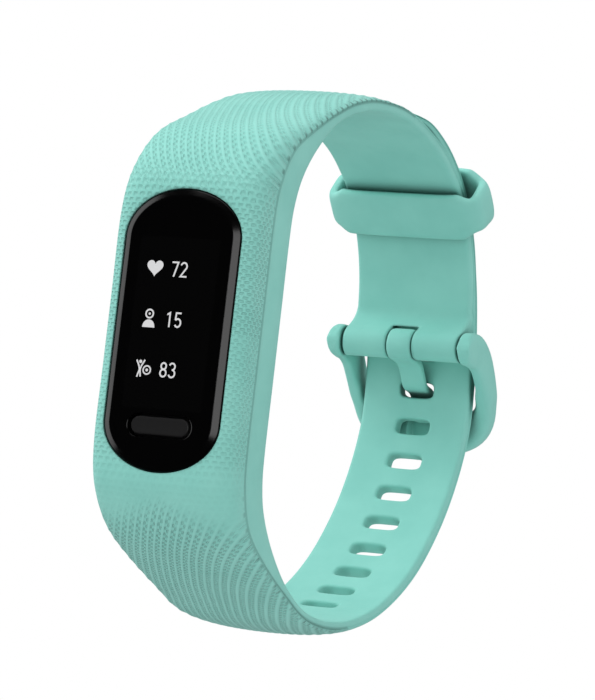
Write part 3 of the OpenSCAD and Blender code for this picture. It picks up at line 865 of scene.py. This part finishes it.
# The free end: its rows, how they crowd together, and how nearly the last one reaches the end
TIP_ROWS, TIP_CROWD, TIP_REACH = 16, 1.8, 0.9995


def slot_columns(mark):
    """Places from -1 to 1, with the slot's two sides at -mark and mark."""
    side = np.linspace(-1, -mark, SLOT_LEFT + 1)
    return np.concatenate([side, np.linspace(-mark, mark, SLOT_RIGHT - SLOT_LEFT + 1)[1:-1], -side[::-1]])


def crease_columns():
    """Places from -1 to 1, closer together by both creases."""
    edge = np.array([0.975, 0.981, 0.986, 0.9905, 0.9945, 1.0])
    return np.concatenate([-edge[::-1], np.linspace(-0.968, 0.968, CELLS_T - 11), edge])


def short_strap(build, ribbon, s_top):
    """The rolled end, with the slot for the tongue, and the short strap up to the pattern."""
    roll = ribbon.run <= ROLL_LONG
    s_slot = ribbon.run[roll][np.argmin(abs(ribbon.inner[roll, 1] - SLOT_TOP))]
    above = np.linspace(s_slot, s_top - GAP_TOP, SHORT_ROWS + 1)[1:]
    s = np.concatenate([np.linspace(0, s_slot, SLOT_ROWS + 1), above])
    g = ribbon_rows(build, ribbon, s, slot_columns(SLOT_HALF / SLOT_OUT), slot_columns(SLOT_HALF / SLOT_IN))
    slot = [(0, SLOT_ROWS, SLOT_LEFT, SLOT_RIGHT)]
    close_faces(build, g, slot, slot)
    for j in (SLOT_LEFT, SLOT_RIGHT):
        build.bridge(g["out"][:SLOT_ROWS + 1, j], g["inn"][:SLOT_ROWS + 1, j], closed=False)
    wide = slice(SLOT_LEFT, SLOT_RIGHT + 1)
    build.bridge(g["out"][SLOT_ROWS, wide], g["inn"][SLOT_ROWS, wide], closed=False)
    out, inner, left, right = (g[side][0] for side in ("out", "inn", "left", "right"))
    build.faces.append(face(out[:SLOT_LEFT + 1], inner[SLOT_LEFT::-1], left[-2:0:-1]))
    build.faces.append(face(out[SLOT_RIGHT:], right[1:-1], inner[:SLOT_RIGHT - 1:-1]))
    return g


def front_stretch(build, ribbon, s_top, s_low, pattern):
    """The patterned stretch, with the pocket for the module."""
    s = np.linspace(s_top, s_low, int((s_low - s_top) / STEP_T))
    g = ribbon_rows(build, ribbon, s, crease_columns(), np.linspace(-1, 1, CELLS_IN + 1), pattern)
    r0, r1, c0, c1 = lens_opening(build, ribbon, g, pattern)
    close_faces(build, g, [(r0, r1, c0, c1)], [(r0, r1, 0, None)])
    return g


def long_strap(build, ribbon, s_low):
    """The strap with the row of holes, down to its free end."""
    s_hole = ribbon.find(*TONGUE_HOLE)
    first, last = int((s_hole - s_low) / STEP_B), int((ribbon.length - TIP_LENGTH - s_hole) / STEP_B)
    s = s_hole + STEP_B * np.arange(-first, last + 1)
    tip = (1 - (1 - np.linspace(0, 1, TIP_ROWS + 1)[1:]) ** TIP_CROWD) * TIP_REACH
    s = np.concatenate([s[s > s_low + GAP_LOW], s[-1] + (ribbon.length - s[-1]) * tip])
    even = np.linspace(-1, 1, CELLS_B + 1)
    g = ribbon_rows(build, ribbon, s, even, even)
    places = s_hole + HOLE_PITCH * np.arange(-HOLES_BELOW, HOLES_ABOVE + 1)
    rows = [int(np.argmin(abs(s - place))) for place in places]
    c0, c1 = CELLS_B // 2 - HOLE_CELLS, CELLS_B // 2 + HOLE_CELLS
    boxes = [(row - HOLE_ROWS, row + HOLE_ROWS, c0, c1) for row in rows]
    close_faces(build, g, boxes, boxes)
    for row in rows:
        strap_hole(build, ribbon, g, row, c0, c1)
    build.faces.append(face(loop_of(g, -1)))
    return g


def band_piece(build):
    """The band as a piece, with the pattern's coordinates as attributes, and plain silicone elsewhere."""
    piece = add_mesh("band", np.concatenate(build.verts), build.faces, silicone_ribbed(), "band")
    piece.data.materials.append(silicone())
    extra = np.concatenate(build.extra)
    for name, column in zip(PATTERN, extra.T.astype(np.float32)):
        values = piece.data.attributes.new(name, "FLOAT", "POINT").data
        values.foreach_set("value", np.ascontiguousarray(column))
    fix_normals(piece)
    patterned = (extra[:, 2] + extra[:, 3] > 0) | ((extra[:, 5] > 0) & (extra[:, 5] < PLAIN))
    loops = np.zeros(len(piece.data.loops), np.int32)
    piece.data.loops.foreach_get("vertex_index", loops)
    starts = np.zeros(len(piece.data.polygons), np.int32)
    piece.data.polygons.foreach_get("loop_start", starts)
    index = np.where(np.maximum.reduceat(patterned[loops].astype(int), starts) > 0, 0, 1)
    piece.data.polygons.foreach_set("material_index", index.astype(np.int32))
    return piece


def make_band():
    ribbon, build = Ribbon(), Build()
    s_top, s_low = ribbon.find(*PATTERN_TOP), ribbon.find(*PATTERN_LOW)
    crown = ribbon.point(ribbon.run, 0 * ribbon.run, ribbon.crown)
    front = crown[:, 1] < -30
    lens_low, lens_high = (ribbon.run[front][np.argmin(abs(crown[front, 2] - (LENS_Z + end)))]
                           for end in (-LENS_HZ, LENS_HZ))
    short = short_strap(build, ribbon, s_top)
    patterned = front_stretch(build, ribbon, s_top, s_low, (lens_low, lens_high))
    long = long_strap(build, ribbon, s_low)
    link_rows(build, short, patterned)
    link_rows(build, patterned, long)
    piece = band_piece(build)
    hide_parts("band_body")


# ---------------- keeper, buckle and tongue
KEEPER_ANGLE, KEEPER_R, KEEPER_HW, KEEPER_HIGH = 41.0, 24.3, 10.45, 2.8
KEEPER_WALL, KEEPER_LONG, KEEPER_ENDS = 0.85, 3.8, 2.7
# From which x to which x the loop gets shorter along the strap
KEEPER_TAPER = (8.2, 10.2)


def make_keeper():
    """A soft loop that follows the strap's arc, a little shorter along the strap at its two ends."""
    path = rounded(KEEPER_HW, KEEPER_HIGH, power=5.0, count=176)
    step = np.roll(path, -1, 0) - np.roll(path, 1, 0)
    out = unit(np.stack([step[:, 1], -step[:, 0]], -1))
    shape = rounded(1, 1, power=3.2, count=32)
    long = KEEPER_LONG - (KEEPER_LONG - KEEPER_ENDS) * smooth(abs(path[:, 0]), *KEEPER_TAPER)
    x = path[:, :1] + out[:, :1] * KEEPER_WALL * shape[None, :, 0]
    r = KEEPER_R + path[:, 1:] + out[:, 1:] * KEEPER_WALL * shape[None, :, 0]
    a = math.radians(KEEPER_ANGLE) + long[:, None] * shape[None, :, 1] / KEEPER_R
    points = np.stack([x, ARC_Y + r * np.cos(a), ARC_Z + r * np.sin(a)], -1)
    verts, faces = loft(points, closed_rows=True)
    piece = add_mesh("keeper", verts, faces, silicone("keeper_silicone"), "keeper")
    fix_normals(piece)
    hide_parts("keeper_loop")


BAR, BOSS_R, BOSS_IN, BOSS_OUT, BUCKLE_HW = (26.0, 5.5), 2.2, 8.78, 9.7, 10.6
# Side view of the buckle's middle line, and its width there
BUCKLE_LINE = [(23.8, 5.5, 0.6), (23.95, 5.5, 1.7), (24.25, 5.5, 2.8), (24.8, 5.5, 3.7), (25.6, 5.5, 4.3),
               (26.5, 5.5, 4.6), (28.2, 5.3, 4.7), (30.2, 4.2, 4.5), (32.0, 2.2, 4.2), (33.6, -0.1, 3.8),
               (34.8, -2.2, 3.3), (35.6, -4.4, 3.0), (36.1, -6.4, 2.8), (36.3, -8.0, 2.6)]
BUCKLE_ARM, ARM_INWARD, BUCKLE_CORNER, BUCKLE_BAR = 1.9, 0.4, 6.6, 4.5
NOTCH_HALF, NOTCH_DEEP = 2.1, 1.35
# How far along its side view an arm starts and ends widening inward
ARM_WIDENS = (9.6, 12.0)


def buckle_path(run):
    """The bow in the plane of the buckle: x and the distance along its side view, right arm first."""
    x, low = BUCKLE_HW - BUCKLE_ARM / 2, run - BUCKLE_BAR / 2
    arc = [(x - BUCKLE_CORNER * (1 - math.cos(a)), low - BUCKLE_CORNER * (1 - math.sin(a)))
           for a in np.radians(np.arange(0, 91, 6))]
    half = [(x, t) for t in np.linspace(0, low - BUCKLE_CORNER, 24)[:-1]] + arc
    half += [(t, low) for t in np.linspace(arc[-1][0], 0, 12)[1:]]
    return np.array(half + [(-a, b) for a, b in half[-2::-1]])


def drum(x0, x1, radius, soft=0.3):
    """A round boss along X with rounded rims."""
    turn = np.radians(np.arange(0, 360, 7.5))
    circle = np.stack([np.cos(turn), np.sin(turn)], -1)
    rim = ((0, 1), (0.3, 0.3), (1, 0))
    places = [(x0 + a * soft, radius - b * soft) for a, b in rim]
    places += [(x1 - a * soft, radius - b * soft) for a, b in rim[::-1]]
    centres = [np.array([x, *BAR]) for x, _ in places]
    across, outward = ([np.array(axis)] * len(places) for axis in ((0, 1.0, 0), (0, 0, 1.0)))
    return sweep(centres, across, outward, [r * circle for _, r in places])


def make_buckle():
    """The bow, swept along its side view, melted together with its two bosses."""
    line = catmull(BUCKLE_LINE, steps=12)
    run = lengths(line[:, :2])
    path = buckle_path(run[-1])
    step = unit(np.gradient(path, axis=0))
    tangent = unit(np.gradient(line[:, :2], axis=0))
    centres, across, outward, shapes = [], [], [], []
    for (x, s), (dx, ds) in zip(path, step):
        y, z, wide = at(s, run, line)
        ty, tz = at(s, run, tangent)
        centres.append(np.array([x, y, z]))
        across.append(np.array([ds, -dx * ty, -dx * tz]))
        outward.append(np.array([0, -tz, ty]))
        bar = smooth(abs(dx), 0.2, 0.9)
        inward = ARM_INWARD * smooth(s, *ARM_WIDENS) * (1 - bar)
        shape = rounded((BUCKLE_ARM + inward + (BUCKLE_BAR - BUCKLE_ARM) * bar) / 2, wide / 2, 3.2, 28)
        shape[:, 0] -= inward / 2
        if abs(x) < NOTCH_HALF:
            shape[:, 1] = np.maximum(shape[:, 1], NOTCH_DEEP - wide / 2)
        shapes.append(shape)
    bow = sweep(centres, across, outward, shapes)
    verts, faces = join(bow, drum(BOSS_IN, BOSS_OUT, BOSS_R), drum(-BOSS_OUT, -BOSS_IN, BOSS_R))
    piece = add_mesh("buckle", verts, faces, silicone("buckle_plastic"), "buckle")
    fuse(piece, voxel=0.13, smooths=4)
    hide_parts("buckle_frame")


TONGUE_LINE = [(27.3, 3.7), (28.65, 3.1), (29.8, 1.85), (31.0, 0.5), (33.2, -0.12), (34.4, -1.4),
               (34.6, -3.1), (34.6, -4.1)]
TONGUE_W, TONGUE_T, EYE_R, EYE_T = 3.5, 1.0, 1.5, 1.36
# How far along it the eye passes into the flat strip, and the length of its rounded tip
EYE_ENDS, TONGUE_TIP = (9.0, 12.0), 1.2


def make_tongue():
    """A flat strip that wraps round the bar and runs down through its hole."""
    line = catmull(bow(*BAR, EYE_R, EYE_R, -84, 252, 29) + TONGUE_LINE, 4)
    run = lengths(line)
    tangent = unit(np.gradient(line, axis=0))
    strip = smooth(run, *EYE_ENDS)
    end = np.clip((run[-1] - run) / TONGUE_TIP, 0, 1)
    tip = np.sqrt(1 - (1 - end) ** 2) * 0.96 + 0.04
    shapes = [rounded(TONGUE_W / 2 * (0.35 + 0.65 * e), (EYE_T + (TONGUE_T - EYE_T) * k) / 2 * e, 5.0, 32)
              for k, e in zip(strip, tip)]
    verts, faces = sweep([np.array([0, *p]) for p in line], [np.array([1.0, 0, 0])] * len(line),
                         [np.array([0, -t[1], t[0]]) for t in tangent], shapes)
    piece = add_mesh("tongue", verts, faces, silicone("tongue_plastic"), "tongue")
    fix_normals(piece)
    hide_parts("buckle_tongue")


# ---------------- lens, key and display
KEY_Z, KEY_L, KEY_W, KEY_RING_L, KEY_RING_W = -12.4, 7.9, 2.2, 9.3, 3.3
# The directions of a ring's points, none of which lies on an axis
RING = np.arange(120) * math.pi / 60 + math.pi / 120


def lens_ring(grow, y):
    x, z = lens_outline(grow, (LENS_HZ - LENS_END) * np.sign(np.sin(RING)), RING)
    return np.stack([x, 0 * x + y, z], -1)


def pill_ring(wide, high, y):
    """Points round a pill about the key's centre."""
    x = (wide - high) / 2 * np.sign(np.cos(RING)) + high / 2 * np.cos(RING)
    return np.stack([x, 0 * x + y, KEY_Z + high / 2 * np.sin(RING)], -1)


def loft(rings, closed_rows=False, caps=()):
    index = np.arange(len(rings) * len(rings[0])).reshape(len(rings), -1)
    faces = grid_faces(index, closed_rows=closed_rows, closed_columns=True)
    faces += [face(index[k][::-1] if k == 0 else index[k]) for k in caps]
    return np.concatenate(rings), faces


# How far each ring lies outside the outline and behind the front
LENS_EDGE = [(0, 1.2), (0, 0.72), (-0.03, 0.62), (-0.1, 0.54), (-0.2, 0.48), (-0.35, 0.395), (-0.5, 0.31),
             (-0.65, 0.225), (-0.8, 0.145), (-0.93, 0.08), (-1.06, 0.03), (-1.2, 0.005), (-1.35, 0)]
KEY_EDGE = [(0.9, 0.14), (0.6, 0.13), (0.35, 0.11), (0.22, 0.11), (0.12, 0.13), (0.04, 0.2), (0, 0.32),
            (0, 1.3), (-0.6, 1.3), (-0.6, 1.7)]
KEY_HOLE = [(KEY_RING_L + 0.25, KEY_RING_W + 0.25, 0), (KEY_RING_L, KEY_RING_W, 0.005),
            (KEY_RING_L - 0.1, KEY_RING_W - 0.1, 0.015), (8.8, 3.0, 0.02), (8.7, 2.9, 0.1), (8.7, 2.9, 1.2)]


def make_lens():
    rings = [lens_ring(grow, LENS_Y + deep) for grow, deep in LENS_EDGE]
    rings += [pill_ring(wide, high, LENS_Y + deep) for wide, high, deep in KEY_HOLE]
    verts, faces = loft(rings, closed_rows=True)
    piece = add_mesh("lens", verts, faces, lens_material(), "module")
    fix_normals(piece)
    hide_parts("front_lens")


def make_key():
    """The key: a shallow dished pill with soft edges, on a wider foot."""
    rings = [pill_ring(KEY_L - 2 * inset, KEY_W - 2 * inset, LENS_Y + deep) for inset, deep in KEY_EDGE]
    verts, faces = loft(rings, caps=(0, len(rings) - 1))
    piece = add_mesh("key", verts, faces, key_material(), "button")
    fix_normals(piece)
    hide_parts("button_cap")


def bow(cx, cz, rx, rz, start, stop, count=14):
    """Points of an arc of an ellipse about (cx, cz), between two angles in degrees."""
    turn = np.radians(np.linspace(start, stop, count))
    return [(cx + rx * math.cos(a), cz + rz * math.sin(a)) for a in turn]


# The figures' strokes: (x, z) points in a box one unit high
DIGITS = {
    "7": [[(0.0, 0.96), (0.46, 0.96), (0.18, 0.0)]],
    "2": [bow(0.24, 0.72, 0.22, 0.24, 165, -25) + [(0.03, 0.04), (0.5, 0.04)]],
    "1": [[(0.08, 0.82), (0.28, 0.95), (0.28, 0.0)]],
    "5": [[(0.46, 0.96), (0.09, 0.96), (0.06, 0.54)] + bow(0.24, 0.31, 0.22, 0.27, 130, -150)],
    "8": [bow(0.25, 0.73, 0.19, 0.21, 0, 360, 22), bow(0.25, 0.27, 0.22, 0.24, 0, 360, 22)],
    "3": [bow(0.23, 0.73, 0.21, 0.22, 160, -90), bow(0.23, 0.27, 0.23, 0.25, 90, -160)],
}
DIGIT_H, DIGIT_STEP, STROKE, DIGIT_X = 1.82, 0.66, 0.115, -0.76
ROWS_Z = ((6.55, "72"), (0.45, "15"), (-5.6, "83"))
GRAPHIC_Y = LENS_Y - 0.012


def stroke(points, width):
    """A flat line of even width with mitred joints."""
    p = np.asarray(points, float)
    d = unit(np.diff(p, axis=0))
    n = np.stack([-d[:, 1], d[:, 0]], -1)
    mean = unit(np.concatenate([n[:1], n[:-1] + n[1:], n[-1:]]))
    mean /= np.maximum((mean * np.concatenate([n[:1], n])).sum(1), 0.5)[:, None]
    both = np.concatenate([p + mean * width / 2, p - mean * width / 2])
    k = len(p)
    return flat(both), [(i, i + 1, k + i + 1, k + i) for i in range(k - 1)]


def flat(points):
    p = np.asarray(points, float)
    return np.stack([p[:, 0], np.full(len(p), GRAPHIC_Y), p[:, 1]], -1)


def blob(points):
    return flat(points), [tuple(range(len(points)))]


def heart(x, z, size):
    """A heart of that width about (x, z)."""
    t = np.linspace(0, 2 * math.pi, 60, endpoint=False)
    u = 16 * np.sin(t) ** 3
    v = 13 * np.cos(t) - 5 * np.cos(2 * t) - 2 * np.cos(3 * t) - np.cos(4 * t)
    return blob(np.stack([x + u * size / 32, z + 0.05 * size + v * size / 32], -1))


def person(x, z):
    """A pair of shoulders, with a round badge as the head."""
    body = [(x - 0.85, z - 1.1)] + bow(x, z - 1.0, 0.82, 0.85, 170, 10, 16) + [(x + 0.85, z - 1.1)]
    ring, dot = bow(x, z + 0.55, 0.5, 0.5, 0, 360, 28), bow(x, z + 0.55, 0.15, 0.15, 0, 345, 18)
    return [stroke(ring, 0.2), blob(dot), blob(body)]


def stretcher(x, z):
    """A figure with both arms up, and a round badge beside it."""
    limbs = [[(x - 1.0, z + 0.95), (x - 0.62, z + 0.25), (x - 0.5, z - 0.2), (x - 0.78, z - 1.1)],
             [(x + 0.12, z + 1.0), (x - 0.3, z + 0.25), (x - 0.42, z - 0.2), (x - 0.3, z - 1.05)]]
    head = bow(x - 0.46, z + 0.78, 0.21, 0.21, 0, 340, 16)
    ring, dot = bow(x + 0.5, z - 0.2, 0.5, 0.5, 0, 360, 28), bow(x + 0.5, z - 0.2, 0.18, 0.18, 0, 345, 18)
    return [stroke(limb, 0.2) for limb in limbs] + [blob(head), stroke(ring, 0.18), blob(dot)]


ICON_X = -3.05


def number(x, z, text):
    """The strokes of a number that starts at x and is centred on z."""
    parts = []
    for k, digit in enumerate(text):
        for line in DIGITS[digit]:
            line = [(x + DIGIT_H * (u + DIGIT_STEP * k), z + DIGIT_H * (v - 0.5)) for u, v in line]
            parts.append(stroke(line, STROKE * DIGIT_H))
    return parts


def make_graphics():
    (z0, _), (z1, _), (z2, _) = ROWS_Z
    parts = [heart(ICON_X, z0, 2.2)] + person(ICON_X, z1) + stretcher(ICON_X, z2)
    for z, text in ROWS_Z:
        parts += number(DIGIT_X, z, text)
    verts, faces = join(*parts)
    add_mesh("figures", verts, faces, glow_material(), "module", smooth=False)


# ---------------- the CAD nodes that stay
def dress(material, *nodes):
    for node in nodes:
        NODES[node].material_slots[0].material = material


def dress_nodes():
    steel = metal("steel", (0.62, 0.63, 0.65), 0.25)
    dress(steel, "spring_bar_tube", "spring_bar_spring", "spring_bar_tip_left", "spring_bar_tip_right",
          "dome_switch", "vibration_motor")
    dress(plastic("case_plastic", (0.012, 0.012, 0.013), 0.42), "front_case", "rear_case", "light_barrier")
    dress(plastic("seal_rubber", (0.03, 0.03, 0.03), 0.7, 4.0, 0.02), "case_seal", "button_seal")
    dress(plastic("adhesive", (0.12, 0.12, 0.12), 0.8, 3.0, 0.03), "lens_adhesive", "battery_foam")
    dress(plastic("display_glass", (0.006, 0.006, 0.008), 0.12, 2.0, 0.002), "display_panel")
    flex = plastic("flex_film", (0.45, 0.20, 0.04), 0.3, 1.5, 0.01)
    dress(flex, "display_flex", "battery_lead", "contact_flex")
    dress(board_material(), "main_board", "optical_board")
    dress(plastic("chip_resin", (0.02, 0.02, 0.022), 0.55, 7.0, 0.02), "board_chips", "sensor_photodiodes")
    dress(metal("carrier", (0.70, 0.71, 0.72), 0.35, (12, 12, 1)), "mid_frame")
    dress(metal("gold", (0.83, 0.60, 0.24), 0.2, (4, 4, 4)), "charge_contacts", "antenna_strip")
    dress(metal("cell_foil", (0.55, 0.57, 0.60), 0.4, (2, 1, 6)), "battery_cell")
    dress(plastic("led_lens", (0.10, 0.55, 0.18), 0.15, 3.0, 0.004, Transmission_Weight=0.4), "sensor_leds")
    dress(plastic("window_glass", (0.008, 0.008, 0.009), 0.08, 1.5, 0.002, Coat_Weight=0.5), "sensor_window")


FLOOR_Z, FLOOR_R = -0.1, 0.6


def make_floor():
    bpy.ops.mesh.primitive_circle_add(vertices=96, radius=FLOOR_R, fill_type="NGON", location=(0, 0, FLOOR_Z))
    floor = bpy.context.object
    floor.name = "floor"
    s = Shader("floor_paper", roughness=0.9)
    floor.data.materials.append(s.done(s.mix(s.noise(0.02, 2), (0.86, 0.86, 0.86), (0.9, 0.9, 0.9))))
    floor.visible_diffuse = floor.visible_glossy = False


bpy.context.scene.view_settings.view_transform = "Standard"
make_camera()
make_world()
make_lights()
make_band()
make_keeper()
make_buckle()
make_tongue()
make_lens()
make_key()
make_graphics()
dress_nodes()
make_floor()
